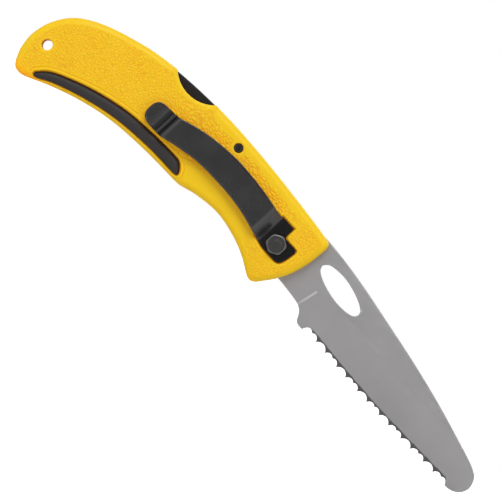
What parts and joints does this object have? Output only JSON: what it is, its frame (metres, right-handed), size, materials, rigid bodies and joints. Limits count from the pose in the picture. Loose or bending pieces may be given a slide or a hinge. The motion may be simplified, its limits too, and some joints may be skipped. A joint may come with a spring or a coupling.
{
  "type": "rigging knife",
  "caption": "Folding lock-back rescue knife: blunt-tipped serrated blade with an oval thumb hole, moulded textured handle, pocket clip on a hex pivot bolt and a lanyard hole.",
  "frame": {"origin": "on the blade's pivot axis, at the centre of the outer flat face of the pivot bolt's hex head", "axes": "+X towards the blade's tip with the knife open, +Z towards the spine, -Y out of the clip side; the knife stands on edge with its tail and its tip level"},
  "size_m": [0.2077, 0.0161, 0.0374],
  "materials": {
    "yellow_nylon": "glass-filled nylon with a pebbled grain on the flats and smooth borders",
    "black_nylon": "smooth moulded nylon",
    "black_rubber": "satin moulded rubber",
    "black_steel": "satin black coating",
    "spring_steel": "bright ground steel",
    "blade_steel": "fine matte blasted steel with ground serrations",
    "bronze": "satin bronze"
  },
  "bodies": {
    "handle": {"clip_side_shell": "yellow_nylon", "back_side_shell": "yellow_nylon", "tail_spacer": "black_nylon", "clip_side_inlay": "black_rubber", "back_side_inlay": "black_rubber", "pocket_clip": "black_steel", "lock_bar_pin": "black_steel", "lock_spring": "spring_steel", "pivot_bolt": "black_steel", "pivot_nut": "black_steel", "pivot_bushing": "spring_steel", "clip_side_washer": "bronze", "back_side_washer": "bronze"},
    "blade": {"blade": "blade_steel"},
    "lock_bar": {"lock_bar": "black_steel"}
  },
  "joints": [
    {"name": "blade_fold", "type": "hinge", "parent": "handle", "child": "blade", "pos_m": [0, 0.0085, 0], "axis": [0, 1, 0], "range_deg": [0, 164.5]},
    {"name": "lock_release", "type": "hinge", "parent": "handle", "child": "lock_bar", "pos_m": [-0.03094, 0.0085, 0.01409], "axis": [0, -1, 0], "range_deg": [0, 4], "stiffness_Nm_per_rad": 0.4, "deforming": ["lock_spring"]}
  ]
}
